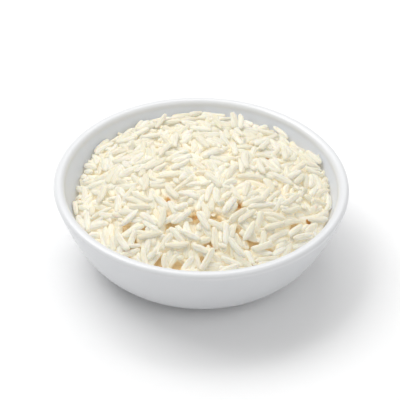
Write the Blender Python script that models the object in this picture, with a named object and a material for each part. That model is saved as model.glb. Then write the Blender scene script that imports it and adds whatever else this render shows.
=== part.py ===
"""A small white bowl heaped with cooked long-grain rice.

Metres, +Z up. The origin is the middle of the foot, level with the table.
The bowl is one turned shell. The rice is one solid: a core that fills the bowl,
with the grains that show on top of the heap fused onto it.
"""
import math

import bmesh
import bpy
import numpy as np

# Bowl, a shell turned about Z
RIM_RADIUS = 0.0600
BOWL_HEIGHT = 0.0353
LIP_RISE = 0.0017
LIP_OUTER_ROUND = 0.0017
LIP_INNER_ROUND = 0.0024
LIP_BLEND = 0.0010
WALL = 0.0041
RIM_LEAN = math.radians(17.2)
BELLY_LENGTH = 0.0251
BASE_LENGTH = 0.0113
BASE_RISE = math.radians(3.6)
FOOT_TOP_RADIUS = 0.0348
FOOT_OUTER_RADIUS = 0.0335
FOOT_INNER_RADIUS = 0.0298
FOOT_HEIGHT = 0.0015
FOOT_DRAFT = 0.0004
WELL_DIP = 0.0003
TURN_STEPS = 48

# Heap of rice, heights measured down from the top of the lip
EDGE_RADIUS = 0.0535
EDGE_BELOW_LIP = 0.0068
DOME_RISE = 0.0141
LEAN_RIGHT = 0.0004
LEAN_BACK = 0.0012
DIP_DEPTH = 0.0040
DIP_AT_X = -0.0540
DIP_SPREAD_X = 0.0085
DIP_SPREAD_Y = 0.0190
CLEARANCE = 0.0003

# Grains
GRAIN_LENGTH = 0.0098
GRAIN_LENGTH_SPREAD = 0.0011
GRAIN_SHORTEST = 0.0064
GRAIN_LONGEST = 0.0118
GRAIN_RADIUS = 0.00120
GRAIN_FLATNESS = 0.86
GRAIN_BEND = 0.055
GRAIN_SIDES = 5
GRAIN_RINGS = ((-0.66, 0.90), (0.0, 1.12), (0.66, 0.90))
SHOWN_APART = 0.0015
SHOWN_DEPTH = 0.0036

# How the grains are strewn and settled
SEED = 7
GRAIN_COUNT = 1650
LAYER_DEPTH = 0.0078
FLAT_SHARE = 0.7
WALL_POWER = 6
GRAIN_LIFT = 0.0009
SETTLE_STEPS = 160
SETTLE_PULL = 0.00006
PULL_UNTIL = 0.8
PUSH_SHARE = 0.3
LOOK_EVERY = 8
LOOK_BEYOND = 0.0015

# Core under the grains
CORE_STEPS = 24
CORE_RINGS = 6
CORE_WALL_RINGS = 3
CORE_SMOOTHING = 0.0062
CORE_BELOW_GRAINS = 0.0006


def curve_between(start, start_pull, end_pull, end, count):
    """Cubic Bezier through the profile plane, as count points of (radius, height)."""
    t = np.linspace(0.0, 1.0, count)[:, None]
    u = 1.0 - t
    return u**3 * start + 3 * u * u * t * start_pull + 3 * u * t * t * end_pull + t**3 * end


def arc(centre, radius, start, end, count):
    """Points on a circular arc in the profile plane, angles in degrees."""
    angle = np.radians(np.linspace(start, end, count))
    return np.stack([centre[0] + radius * np.cos(angle), centre[1] + radius * np.sin(angle)], 1)


def outer_side(count):
    """The bowl's outside, from its widest level down to the top of the foot."""
    rim = np.array([RIM_RADIUS, BOWL_HEIGHT - LIP_RISE])
    foot = np.array([FOOT_TOP_RADIUS, FOOT_HEIGHT])
    rim_pull = rim - BELLY_LENGTH * np.array([math.sin(RIM_LEAN), math.cos(RIM_LEAN)])
    foot_pull = foot + BASE_LENGTH * np.array([math.cos(BASE_RISE), math.sin(BASE_RISE)])
    return curve_between(rim, rim_pull, foot_pull, foot, count)


def inward(curve, distance):
    """The curve moved square to itself, towards the inside of the bowl."""
    along = np.gradient(curve, axis=0)
    along /= np.linalg.norm(along, axis=1)[:, None]
    return curve + distance * np.stack([along[:, 1], -along[:, 0]], 1)


def wall_radius(height, distance):
    """Radius, at each height, of the surface that lies this far inside the bowl's outside."""
    curve = inward(outer_side(61), distance)[::-1]
    return np.interp(height, curve[:, 1], curve[:, 0])


def material(name, colour, roughness):
    made = bpy.data.materials.new(name)
    made.use_nodes = True
    shader = made.node_tree.nodes["Principled BSDF"]
    shader.inputs["Base Color"].default_value = (*colour, 1.0)
    shader.inputs["Roughness"].default_value = roughness
    shader.inputs["Metallic"].default_value = 0.0
    made.diffuse_color = (*colour, 1.0)
    return made


def add_object(name, mesh, surface):
    thing = bpy.data.objects.new(name, mesh)
    mesh.materials.append(surface)
    bpy.context.scene.collection.objects.link(thing)
    return thing


def bowl_profile():
    """Half section from the middle of the underside, round the lip, to the middle of the well."""
    lip_top = BOWL_HEIGHT
    widest = BOWL_HEIGHT - LIP_RISE
    underside = [(0.0, FOOT_HEIGHT), (FOOT_INNER_RADIUS - FOOT_DRAFT, FOOT_HEIGHT),
                 (FOOT_INNER_RADIUS, 0.0), (FOOT_OUTER_RADIUS, 0.0)]
    outside = outer_side(9)[::-1]
    lip_outer = arc((RIM_RADIUS - LIP_OUTER_ROUND, widest), LIP_OUTER_ROUND, 0, 90, 4)[1:]
    inner = inward(outer_side(25), WALL)
    inner_top = lip_top - LIP_INNER_ROUND
    start = wall_radius(inner_top, WALL)
    lip_inner = arc((start + LIP_INNER_ROUND, inner_top), LIP_INNER_ROUND, 90, 180, 4)
    inside = inner[inner[:, 1] < inner_top - LIP_BLEND][::3]
    well = inner[-1]
    return np.vstack([underside, outside, lip_outer, lip_inner, inside, well,
                      (0.0, well[1] - WELL_DIP)])


def make_bowl(surface):
    """Turn the half section about Z and close its two poles."""
    work = bmesh.new()
    points = [work.verts.new((r, 0.0, z)) for r, z in bowl_profile()]
    edges = [work.edges.new(pair) for pair in zip(points, points[1:])]
    bmesh.ops.spin(work, geom=points + edges, cent=(0, 0, 0), axis=(0, 0, 1),
                   angle=2 * math.pi, steps=TURN_STEPS, use_merge=True)
    bmesh.ops.remove_doubles(work, verts=work.verts, dist=0.00002)
    bmesh.ops.recalc_face_normals(work, faces=work.faces)
    mesh = bpy.data.meshes.new("bowl")
    work.to_mesh(mesh)
    work.free()
    mesh.shade_smooth()
    mesh.set_sharp_from_angle(angle=math.radians(40))
    return add_object("bowl", mesh, surface)


def heap_height(x, y):
    """Top of the heap: a leaning shallow dome with a dip at the left wall."""
    level = BOWL_HEIGHT - EDGE_BELOW_LIP + (LEAN_RIGHT * x + LEAN_BACK * y) / EDGE_RADIUS
    dome = DOME_RISE * (1.0 - (x * x + y * y) / EDGE_RADIUS**2)
    dip = DIP_DEPTH * np.exp(-((x - DIP_AT_X) / DIP_SPREAD_X) ** 2 / 2 - (y / DIP_SPREAD_Y) ** 2 / 2)
    return level + dome - dip


def heap_normal(x, y):
    """Unit vectors square to the heap's top, from its height a hundredth of a millimetre away."""
    step = 0.00001
    across = (heap_height(x + step, y) - heap_height(x - step, y)) / (2 * step)
    along = (heap_height(x, y + step) - heap_height(x, y - step)) / (2 * step)
    normal = np.stack([-across, -along, np.ones_like(across)], 1)
    return normal / np.linalg.norm(normal, axis=1)[:, None]


def nearest_shares(a0, a1, b0, b1):
    """How far along each of two segments their closest points lie, from 0 to 1."""
    u, v, w = a1 - a0, b1 - b0, a0 - b0
    uu, uv, vv = (u * u).sum(1), (u * v).sum(1), (v * v).sum(1)
    uw, vw = (u * w).sum(1), (v * w).sum(1)
    spread = uu * vv - uv * uv
    skew = spread > 1e-6 * uu * vv
    s = np.where(skew, (uv * vw - vv * uw) / np.where(skew, spread, 1.0), 0.5)
    s = np.clip(s, 0.0, 1.0)
    t = np.clip((uv * s + vw) / vv, 0.0, 1.0)
    s = np.clip((uv * t - uw) / uu, 0.0, 1.0)
    return s, t


def scatter_grains(random):
    """Grains at random through the top layer: nearly along the heap, and along the wall near it."""
    length = random.normal(GRAIN_LENGTH, GRAIN_LENGTH_SPREAD, GRAIN_COUNT)
    half = np.clip(length, GRAIN_SHORTEST, GRAIN_LONGEST) / 2 - GRAIN_RADIUS
    radius = EDGE_RADIUS * np.sqrt(random.random(GRAIN_COUNT))
    angle = 2 * math.pi * random.random(GRAIN_COUNT)
    x, y = radius * np.cos(angle), radius * np.sin(angle)
    middle = np.stack([x, y, heap_height(x, y) - LAYER_DEPTH * random.random(GRAIN_COUNT)], 1)
    along = random.standard_normal((GRAIN_COUNT, 3))
    normal = heap_normal(x, y)
    along -= FLAT_SHARE * normal * (along * normal).sum(1)[:, None]
    outward = np.stack([np.cos(angle), np.sin(angle), np.zeros(GRAIN_COUNT)], 1)
    near_wall = (radius / EDGE_RADIUS) ** WALL_POWER
    along -= outward * (near_wall * (along * outward).sum(1))[:, None]
    along /= np.linalg.norm(along, axis=1)[:, None]
    lift = GRAIN_LIFT * random.standard_normal(GRAIN_COUNT)
    return middle, along, half, lift


def neighbours(middle, half):
    """Pairs of grains near enough to touch in the next few steps."""
    apart = ((middle[:, None] - middle[None]) ** 2).sum(2)
    reach = half[:, None] + half[None] + 2 * GRAIN_RADIUS + LOOK_BEYOND
    return np.nonzero(np.triu(apart < reach * reach, 1))


def push_apart(p, q, first, second):
    """Moves for both ends of every grain that shift overlapping pairs off each other."""
    s, t = nearest_shares(p[first], q[first], p[second], q[second])
    gap = p[first] + s[:, None] * (q[first] - p[first])
    gap -= p[second] + t[:, None] * (q[second] - p[second])
    distance = np.sqrt((gap * gap).sum(1)) + 1e-9
    overlap = np.maximum(2 * GRAIN_RADIUS - distance, 0.0)
    push = gap * (PUSH_SHARE * overlap / distance)[:, None]
    moves = np.zeros((2, len(p), 3))
    for grain, share, sign in ((first, s, 1.0), (second, t, -1.0)):
        lever = sign / ((1 - share) ** 2 + share**2)
        for k in range(3):
            moves[0, :, k] += np.bincount(grain, push[:, k] * (1 - share) * lever, len(p))
            moves[1, :, k] += np.bincount(grain, push[:, k] * share * lever, len(p))
    return moves


def keep_in_layer(end, lift):
    """Hold one end of every grain inside the wall, above the core and below the heap's top."""
    radius = np.hypot(end[:, 0], end[:, 1])
    limit = wall_radius(end[:, 2], WALL + CLEARANCE + GRAIN_RADIUS)
    end[:, :2] *= np.minimum(1.0, limit / np.maximum(radius, 1e-6))[:, None]
    top = heap_height(end[:, 0], end[:, 1]) - GRAIN_RADIUS
    end[:, 2] = np.clip(end[:, 2], top - LAYER_DEPTH, top + lift)


def settle_grains(random):
    """Rods pressed down on the core and pushed off each other until they lie packed.

    Each step moves the two ends of every grain apart where grains overlap, then down square
    to the heap, and then sets every grain back to its own length.
    """
    middle, along, half, lift = scatter_grains(random)
    p, q = middle - along * half[:, None], middle + along * half[:, None]
    for step in range(SETTLE_STEPS):
        if step % LOOK_EVERY == 0:
            first, second = neighbours((p + q) / 2, half)
        moves = push_apart(p, q, first, second)
        middle = (p + q) / 2
        fade = max(0.0, 1.0 - step / (PULL_UNTIL * SETTLE_STEPS))
        down = heap_normal(middle[:, 0], middle[:, 1]) * SETTLE_PULL * fade
        p += moves[0] - down
        q += moves[1] - down
        keep_in_layer(p, lift)
        keep_in_layer(q, lift)
        middle = (p + q) / 2
        along = (q - p) / np.linalg.norm(q - p, axis=1)[:, None]
        p, q = middle - along * half[:, None], middle + along * half[:, None]
    return middle.round(6), along.round(4), half + GRAIN_RADIUS


def shown_grains(middle, along, half):
    """Grains seen from above: the highest first, leaving out the deep and the covered ones."""
    flat = np.array([1.0, 1.0, 0.0])
    reach = along * (half - GRAIN_RADIUS)[:, None]
    p, q = (middle - reach) * flat, (middle + reach) * flat
    height = middle[:, 2] - heap_height(middle[:, 0], middle[:, 1])
    taken = []
    for grain in np.argsort(-height):
        if height[grain] < -SHOWN_DEPTH:
            break
        a0, a1 = p[[grain] * len(taken)], q[[grain] * len(taken)]
        b0, b1 = p[taken], q[taken]
        s, t = nearest_shares(a0, a1, b0, b1)
        between = a0 + s[:, None] * (a1 - a0) - b0 - t[:, None] * (b1 - b0)
        if not taken or np.linalg.norm(between, axis=1).min() > SHOWN_APART:
            taken.append(grain)
    return np.array(taken)


def core_height(x, y, middle):
    """Height of the core at x, y: the mean height of the shown grains nearby, less a little."""
    apart = (x[:, None] - middle[None, :, 0]) ** 2 + (y[:, None] - middle[None, :, 1]) ** 2
    weight = np.exp(-apart / (2 * CORE_SMOOTHING**2))
    rise = middle[:, 2] - heap_height(middle[:, 0], middle[:, 1])
    return heap_height(x, y) + (weight * rise).sum(1) / weight.sum(1) - CORE_BELOW_GRAINS


def make_core(middle):
    """The rice below the shown grains, a closed polar grid that fills the bowl's inside."""
    inside = WALL + CLEARANCE
    angle = 2 * math.pi * np.arange(CORE_STEPS) / CORE_STEPS
    across, along = np.cos(angle), np.sin(angle)
    edge = core_height(EDGE_RADIUS * across, EDGE_RADIUS * along, middle)
    edge_radius = wall_radius(edge, inside)
    well = inward(outer_side(61), inside)[-1, 1] + 0.0001
    rings = []
    for share in np.linspace(0.0, 1.0, CORE_RINGS + 1)[1:]:
        x, y = share * edge_radius * across, share * edge_radius * along
        rings.append(np.stack([x, y, core_height(x, y, middle)], 1))
    for share in np.linspace(1.0, 0.0, CORE_WALL_RINGS + 1)[1:]:
        z = well + share * (rings[CORE_RINGS - 1][:, 2] - well)
        radius = wall_radius(z, inside)
        rings.append(np.stack([radius * across, radius * along, z], 1))
    zero = np.zeros(1)
    top = [0.0, 0.0, core_height(zero, zero, middle)[0]]
    points = np.vstack([[top], *rings, [[0.0, 0.0, well]]])
    faces = []
    for k in range(CORE_STEPS):
        turn = (k + 1) % CORE_STEPS
        faces.append((0, 1 + k, 1 + turn))
        for ring in range(len(rings) - 1):
            low, high = 1 + ring * CORE_STEPS, 1 + (ring + 1) * CORE_STEPS
            faces.append((low + k, high + k, high + turn, low + turn))
        last = 1 + (len(rings) - 1) * CORE_STEPS
        faces.append((last + turn, last + k, len(points) - 1))
    mesh = bpy.data.meshes.new("rice")
    mesh.from_pydata(points, [], faces)
    return mesh


def grain_points(middle, along, half, random):
    """Corners of one grain: two ends and three rings round a slightly bent spine."""
    side = np.cross(along, random.standard_normal(3))
    side /= np.linalg.norm(side)
    third = np.cross(along, side)
    bend = GRAIN_BEND * half * random.random()
    turn = 2 * math.pi * np.arange(GRAIN_SIDES) / GRAIN_SIDES
    points = [middle - along * half - side * bend]
    for share, width in GRAIN_RINGS:
        centre = middle + along * half * share + side * bend * (1 - 2 * share * share)
        radius = GRAIN_RADIUS * width
        ring = np.outer(np.cos(turn), side) + GRAIN_FLATNESS * np.outer(np.sin(turn), third)
        points.extend(centre + radius * ring)
    points.append(middle + along * half - side * bend)
    return np.array(points)


def keep_off_wall(points):
    """Move corners that reach past the clearance back to it, so the grain lies on the wall."""
    radius = np.hypot(points[:, 0], points[:, 1])
    limit = wall_radius(points[:, 2], WALL + CLEARANCE)
    points[:, :2] *= np.minimum(1.0, limit / np.maximum(radius, 1e-6))[:, None]
    return points


def make_grain(middle, along, half, random, heap):
    """One grain as a closed mesh, linked to the collection that is fused to the core."""
    points = keep_off_wall(grain_points(middle, along, half, random))
    last = len(points) - 1
    faces = []
    for k in range(GRAIN_SIDES):
        turn = (k + 1) % GRAIN_SIDES
        faces.append((0, 1 + turn, 1 + k))
        for low in (1, 1 + GRAIN_SIDES):
            high = low + GRAIN_SIDES
            faces.append((low + k, low + turn, high + turn, high + k))
        faces.append((last, last - GRAIN_SIDES + k, last - GRAIN_SIDES + turn))
    mesh = bpy.data.meshes.new("grain")
    mesh.from_pydata(points, [], faces)
    work = bmesh.new()
    work.from_mesh(mesh)
    bmesh.ops.recalc_face_normals(work, faces=work.faces)
    bmesh.ops.triangulate(work, faces=work.faces)
    work.to_mesh(mesh)
    work.free()
    heap.objects.link(bpy.data.objects.new("grain", mesh))


def keep_largest_body(mesh):
    """Drop loose scraps and fill sealed hollows: only the outer skin of the heap stays."""
    work = bmesh.new()
    work.from_mesh(mesh)
    bmesh.ops.triangulate(work, faces=work.faces)
    left = set(work.faces)
    largest = set()
    while left:
        body, front = set(), [left.pop()]
        while front:
            face = front.pop()
            body.add(face)
            touching = {other for edge in face.edges for other in edge.link_faces} & left
            left -= touching
            front.extend(touching)
        largest = body if len(body) > len(largest) else largest
    spare = [face for face in work.faces if face not in largest]
    bmesh.ops.delete(work, geom=spare, context="FACES")
    work.to_mesh(mesh)
    work.free()


def make_rice(surface):
    """Settle the grains, then fuse the ones that show onto the core."""
    random = np.random.default_rng(SEED)
    middle, along, half = settle_grains(random)
    shown = shown_grains(middle, along, half)
    rice = add_object("rice", make_core(middle[shown]), surface)
    heap = bpy.data.collections.new("heap")
    for grain in shown:
        make_grain(middle[grain], along[grain], half[grain], random, heap)
    fuse = rice.modifiers.new("fuse", "BOOLEAN")
    fuse.operation = "UNION"
    fuse.operand_type = "COLLECTION"
    fuse.collection = heap
    fuse.solver = "MANIFOLD"
    evaluated = rice.evaluated_get(bpy.context.evaluated_depsgraph_get())
    fused = bpy.data.meshes.new_from_object(evaluated)
    rice.modifiers.clear()
    rice.data = fused
    for grain in list(heap.objects):
        bpy.data.objects.remove(grain)
    bpy.data.collections.remove(heap)
    keep_largest_body(fused)
    fused.shade_smooth()
    fused.set_sharp_from_angle(angle=math.radians(50))
    return rice


def main():
    for old in list(bpy.data.objects):
        bpy.data.objects.remove(old)
    make_bowl(material("white glaze", (0.82, 0.82, 0.82), 0.28))
    make_rice(material("cooked rice", (0.80, 0.76, 0.62), 0.55))


main()
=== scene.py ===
# %% [markdown]
# # A bowl of cooked rice, dressed for the camera
#
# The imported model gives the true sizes: a turned white bowl and, inside it, one solid for
# the whole heap of rice. This lesson keeps those sizes and makes what the eye wants on top
# of them: a smooth glaze, and a heap of separate grains instead of one faceted lump.

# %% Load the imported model
import math

import bpy
import numpy as np
from mathutils import Matrix, Vector


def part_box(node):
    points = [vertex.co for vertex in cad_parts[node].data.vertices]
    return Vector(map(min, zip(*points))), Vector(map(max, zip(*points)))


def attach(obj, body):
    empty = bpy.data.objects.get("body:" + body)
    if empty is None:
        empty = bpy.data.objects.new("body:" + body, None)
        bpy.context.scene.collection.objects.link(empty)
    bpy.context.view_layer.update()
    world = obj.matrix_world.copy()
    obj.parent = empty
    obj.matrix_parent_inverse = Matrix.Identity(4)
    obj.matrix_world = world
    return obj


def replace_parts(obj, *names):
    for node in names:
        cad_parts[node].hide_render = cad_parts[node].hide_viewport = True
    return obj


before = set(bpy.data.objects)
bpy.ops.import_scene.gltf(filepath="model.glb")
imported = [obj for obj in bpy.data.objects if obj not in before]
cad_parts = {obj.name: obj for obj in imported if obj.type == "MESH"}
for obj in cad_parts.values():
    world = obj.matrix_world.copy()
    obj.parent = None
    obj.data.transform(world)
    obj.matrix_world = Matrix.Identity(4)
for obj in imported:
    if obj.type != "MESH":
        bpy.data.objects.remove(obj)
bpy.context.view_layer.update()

print("nodes in the frame:", sorted(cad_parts))

# %% [markdown]
# ## The sizes that everything else is worked out from
#
# Two sizes come from the frame: how wide the bowl is, and how tall. They are rounded to a
# hundredth of a millimetre, because the frame holds 32-bit numbers and the heap below is
# settled from exactly the same sizes as the solid was.

# %% Read the bowl's size
bowl_low, bowl_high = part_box("bowl")
RIM_RADIUS = round(bowl_high.x, 5)
BOWL_HEIGHT = round(bowl_high.z, 5)
print("bowl: %.1f mm across, %.1f mm tall" % (2000 * RIM_RADIUS, 1000 * BOWL_HEIGHT))

# %% [markdown]
# ## The camera
#
# The mouth of a round bowl is the best camera gauge there is. Seen at an angle it is an
# ellipse: the ratio of its axes gives the height the camera looks from, its long axis gives
# the scale, and how far the ellipse is turned gives the roll. Those were measured in the
# photograph's own 400 x 400 frame. The lens follows from the scale and the distance, which
# is nine bowl radii: a longer distance would flatten the bowl, a nearer one would make the
# front lip look wider than it is.
#
# The camera is aimed at the middle of the mouth first. Then it is turned a little, so that
# this point lands where the photograph has it. That keeps the lens unshifted.

# %% Aim the camera
FRAME_PIXELS = 400
SENSOR_MM = 36.0
LOOK_DOWN = math.radians(37.52)
ROLL = math.radians(1.35)
RADII_AWAY = 9.0
MOUTH_PIXEL = (201.45, 181.8)
MOUTH_HALF_PIXELS = 147.27
LIP_RISE = 0.0017

focal_pixels = MOUTH_HALF_PIXELS * RADII_AWAY
mouth = Vector((0.0, 0.0, BOWL_HEIGHT - LIP_RISE))
backwards = Vector((0.0, -math.cos(LOOK_DOWN), math.sin(LOOK_DOWN)))
sideways = Vector((1.0, 0.0, 0.0))
turned = Matrix((sideways, backwards.cross(sideways), backwards)).transposed()
turned = turned @ Matrix.Rotation(ROLL, 3, "Z")
tip = math.atan((MOUTH_PIXEL[1] - FRAME_PIXELS / 2) / focal_pixels)
swing = math.atan((MOUTH_PIXEL[0] - FRAME_PIXELS / 2) / focal_pixels)
turned = turned @ Matrix.Rotation(tip, 3, "X") @ Matrix.Rotation(swing, 3, "Y")

camera = bpy.data.objects.new("camera", bpy.data.cameras.new("camera"))
camera.data.sensor_width = SENSOR_MM
camera.data.lens = SENSOR_MM * focal_pixels / FRAME_PIXELS
eye = mouth + backwards * RADII_AWAY * RIM_RADIUS
camera.matrix_world = Matrix.Translation(eye) @ turned.to_4x4()
bpy.context.scene.collection.objects.link(camera)
bpy.context.scene.camera = camera
print("lens %.1f mm, camera %.0f mm away" % (camera.data.lens, 1000 * RADII_AWAY * RIM_RADIUS))

# %% [markdown]
# ## Shader maths as plain Python
#
# A finish is a small sum: one colour here, another there, mixed by a mask. Wiring Math nodes
# by hand hides that sum. The class below wraps one output socket, so that `1 - mask` or
# `mask * 0.4 + 0.2` adds the Math nodes by itself. `Finish` owns the material and makes every
# other node through one method: its type, its settings first, then its socket values or links.

# %% A socket that can be added, subtracted and multiplied
class Wire:
    """One output socket; arithmetic on it adds a Math node and returns that node's output."""

    def __init__(self, finish, socket):
        self.finish = finish
        self.socket = socket

    def maths(self, operation, first, second):
        return self.finish.node("Math", {"operation": operation}, {0: first, 1: second})

    def __add__(self, other):
        return self.maths("ADD", self, other)

    def __sub__(self, other):
        return self.maths("SUBTRACT", self, other)

    def __rsub__(self, other):
        return self.maths("SUBTRACT", other, self)

    def __mul__(self, other):
        return self.maths("MULTIPLY", self, other)

    def __lt__(self, other):
        return self.maths("LESS_THAN", self, other)

    __radd__ = __add__
    __rmul__ = __mul__


# %% [markdown]
# `Finish.range` is the other everyday tool: it turns any number that varies over a surface
# into a mask from 0 to 1 with soft ends, which is what most wear, dirt and colour changes are.

# %% A material with one method that makes any node
class Finish:
    """A material and its Principled shader."""

    def __init__(self, name, roughness, **fixed):
        self.material = bpy.data.materials.new(name)
        self.material.use_nodes = True
        self.tree = self.material.node_tree
        self.shader = self.tree.nodes["Principled BSDF"]
        self.shader.inputs["Roughness"].default_value = roughness
        for socket, value in fixed.items():
            self.shader.inputs[socket.replace("_", " ")].default_value = value

    def feed(self, socket, value):
        if isinstance(value, Wire):
            self.tree.links.new(value.socket, socket)
        else:
            socket.default_value = value

    def node(self, kind, settings=None, values=None, out=0):
        made = self.tree.nodes.new("ShaderNode" + kind)
        for key, value in (settings or {}).items():
            setattr(made, key, value)
        for key, value in (values or {}).items():
            self.feed(made.inputs[key], value)
        return Wire(self, made.outputs[out])

    def place(self):
        return self.node("TexCoord", out="Object")

    def attribute(self, name, out="Fac"):
        return self.node("Attribute", {"attribute_name": name}, out=out)

    def noise(self, vector, scale, detail=2.0):
        return self.node("TexNoise", None, {"Vector": vector, "Scale": scale, "Detail": detail})

    def range(self, value, low, high):
        """0 below low, 1 above high, and an S-curve between them."""
        values = {"Value": value, "From Min": low, "From Max": high}
        return self.node("MapRange", {"interpolation_type": "SMOOTHSTEP"}, values)

    def blend(self, mask, first, second):
        """The first colour where the mask is 0, the second where it is 1."""
        values = {"Factor": mask, "A": first, "B": second}
        made = self.tree.nodes.new("ShaderNodeMix")
        made.data_type = "RGBA"
        for key, value in values.items():
            socket = next(s for s in made.inputs if s.name == key and s.enabled)
            self.feed(socket, value)
        return Wire(self, next(s for s in made.outputs if s.enabled))

    def bump(self, height, distance, strength=1.0):
        values = {"Height": height, "Distance": distance, "Strength": strength}
        self.feed(self.shader.inputs["Normal"], self.node("Bump", None, values))

    def paint(self, socket, value):
        self.feed(self.shader.inputs[socket], value)


def grey(value):
    return (value, value, value, 1.0)


# %% [markdown]
# ## The bowl's half section
#
# A bowl is turned, so its whole form is one curve: the outline of a cut from the middle of
# the foot, out under the belly, up the side, over the lip and down into the well. It could
# be traced point by point, but then every size in it would be a guess. Here the side is one
# cubic curve with two handles: one leans in from the widest level, the other runs out level
# from the foot. The inside is the same curve moved in by the thickness of the wall, as it
# would be when clay is jiggered over a mould.

# %% The curve of the side
WALL = 0.0041
LIP_INNER_ROUND = 0.0024
RIM_LEAN = math.radians(17.2)
BELLY_LENGTH = 0.0251
BASE_LENGTH = 0.0113
BASE_RISE = math.radians(3.6)
FOOT_TOP_RADIUS = 0.0348
FOOT_HEIGHT = 0.0015
SIDE_POINTS = 70
LOOKUP_POINTS = 61


def outer_side(count):
    """Cubic Bezier in (radius, height) from the widest level down to the top of the foot.

    A point is the mean of four corners, weighted u^3, 3u^2t, 3ut^2 and t^3, with u = 1 - t.
    """
    rim = np.array([RIM_RADIUS, BOWL_HEIGHT - LIP_RISE])
    foot = np.array([FOOT_TOP_RADIUS, FOOT_HEIGHT])
    rim_pull = rim - BELLY_LENGTH * np.array([math.sin(RIM_LEAN), math.cos(RIM_LEAN)])
    foot_pull = foot + BASE_LENGTH * np.array([math.cos(BASE_RISE), math.sin(BASE_RISE)])
    t = np.linspace(0.0, 1.0, count)[:, None]
    u = 1.0 - t
    return u**3 * rim + 3 * u * u * t * rim_pull + 3 * u * t * t * foot_pull + t**3 * foot


def inward(curve, distance):
    """Each point moved along the curve's normal, towards the inside of the bowl."""
    along = np.gradient(curve, axis=0)
    along /= np.linalg.norm(along, axis=1)[:, None]
    return curve + distance * np.stack([along[:, 1], -along[:, 0]], 1)


def wall_radius(height, distance):
    """Radius at each height of the surface that lies this far inside the bowl's outside."""
    curve = inward(outer_side(LOOKUP_POINTS), distance)[::-1]
    return np.interp(height, curve[:, 1], curve[:, 0])


print("inside radius at the lip %.1f mm" % (1000 * wall_radius(BOWL_HEIGHT - LIP_INNER_ROUND, WALL)))

# %% [markdown]
# The lip is what the light catches, so it gets real arcs: a tight one outside and a wider,
# softer one inside, with a narrow flat between them. The outer arc starts at the widest
# level, so its radius is the lip's rise above that level. Corners that a potter would
# sponge round, such as the foot's two edges, get small arcs as well.

# %% The whole half section
LIP_INNER_END = 178
LIP_GAP = 0.0002
FOOT_OUTER_RADIUS = 0.0335
FOOT_INNER_RADIUS = 0.0298
FOOT_ROUND = 0.0005
UNDERSIDE_GAP = 0.0010
WELL_DIP = 0.0003
FLAT_POINTS = 12
FOOT_ARC_POINTS = 6
LIP_OUTER_POINTS = 14
LIP_INNER_POINTS = 16


def arc(centre, radius, start, end, count):
    """Points on a circular arc in the profile plane, angles in degrees."""
    angle = np.radians(np.linspace(start, end, count))
    return np.stack([centre[0] + radius * np.cos(angle), centre[1] + radius * np.sin(angle)], 1)


def bowl_profile():
    """(radius, height) points from the middle of the underside, round the lip, to the well."""
    under_radius = np.linspace(0.0, FOOT_INNER_RADIUS - UNDERSIDE_GAP, FLAT_POINTS)
    underside = np.stack([under_radius, np.full(FLAT_POINTS, FOOT_HEIGHT)], 1)
    foot_inner = arc((FOOT_INNER_RADIUS + FOOT_ROUND, FOOT_ROUND), FOOT_ROUND, 180, 270, FOOT_ARC_POINTS)
    foot_outer = arc((FOOT_OUTER_RADIUS - FOOT_ROUND, FOOT_ROUND), FOOT_ROUND, 270, 360, FOOT_ARC_POINTS)
    outside = outer_side(SIDE_POINTS)[::-1]
    widest = (RIM_RADIUS - LIP_RISE, BOWL_HEIGHT - LIP_RISE)
    lip_outer = arc(widest, LIP_RISE, 0, 90, LIP_OUTER_POINTS)[1:]
    inner_top = BOWL_HEIGHT - LIP_INNER_ROUND
    centre = (wall_radius(inner_top, WALL) + LIP_INNER_ROUND, inner_top)
    lip_inner = arc(centre, LIP_INNER_ROUND, 90, LIP_INNER_END, LIP_INNER_POINTS)
    inner = inward(outer_side(SIDE_POINTS), WALL)
    inner = inner[inner[:, 1] < inner_top - LIP_GAP]
    well_radius = np.linspace(inner[-1, 0], 0.0, FLAT_POINTS)[1:]
    well_height = inner[-1, 1] - WELL_DIP * (1 - (well_radius / inner[-1, 0]) ** 2)
    well = np.stack([well_radius, well_height], 1)
    return np.vstack([underside, foot_inner, foot_outer, outside, lip_outer, lip_inner, inner, well])


profile = bowl_profile()
print("half section:", len(profile), "points")

# %% [markdown]
# ## Turning the section
#
# A turned surface is a grid with two parameters: which point of the section, and what angle.
# Every vertex of the bowl is then one outer product, with no loop. The two ends of the
# section lie on the axis, so each end is a single vertex with a fan of triangles round it.
# The grains and the core below are closed the same way, so the faces get a function.

# %% Turn the bowl
TURN_STEPS = 192


def ring_faces(rings, steps):
    """Quads between neighbouring rings of points, and the two fans of triangles at the ends.

    Vertex 0 is the first end. Step k of ring r is vertex 1 + r * steps + k, and the other
    end comes last.
    """
    number = 1 + np.arange(rings * steps).reshape(rings, steps)
    after = np.roll(number, -1, axis=1)
    quads = np.stack([number[:-1], after[:-1], after[1:], number[1:]], 2).reshape(-1, 4)
    first = np.stack([np.zeros(steps, int), after[0], number[0]], 1)
    last = np.stack([np.full(steps, rings * steps + 1), number[-1], after[-1]], 1)
    return quads, np.vstack([first, last])


def ringed_mesh(name, first, rings, last, turned_over=False):
    """A closed mesh: a grid of points (ring, step, 3) with one point before it and one after.

    Its faces point outwards where every ring goes round anticlockwise, seen from the last
    point. Where the rings go round clockwise, the faces have to be turned over.
    """
    quads, fans = ring_faces(*rings.shape[:2])
    if turned_over:
        quads, fans = quads[:, [0, 3, 2, 1]], fans[:, [0, 2, 1]]
    mesh = bpy.data.meshes.new(name)
    mesh.from_pydata(np.vstack([first, rings.reshape(-1, 3), last]), [], quads.tolist() + fans.tolist())
    mesh.shade_smooth()
    return mesh


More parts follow.
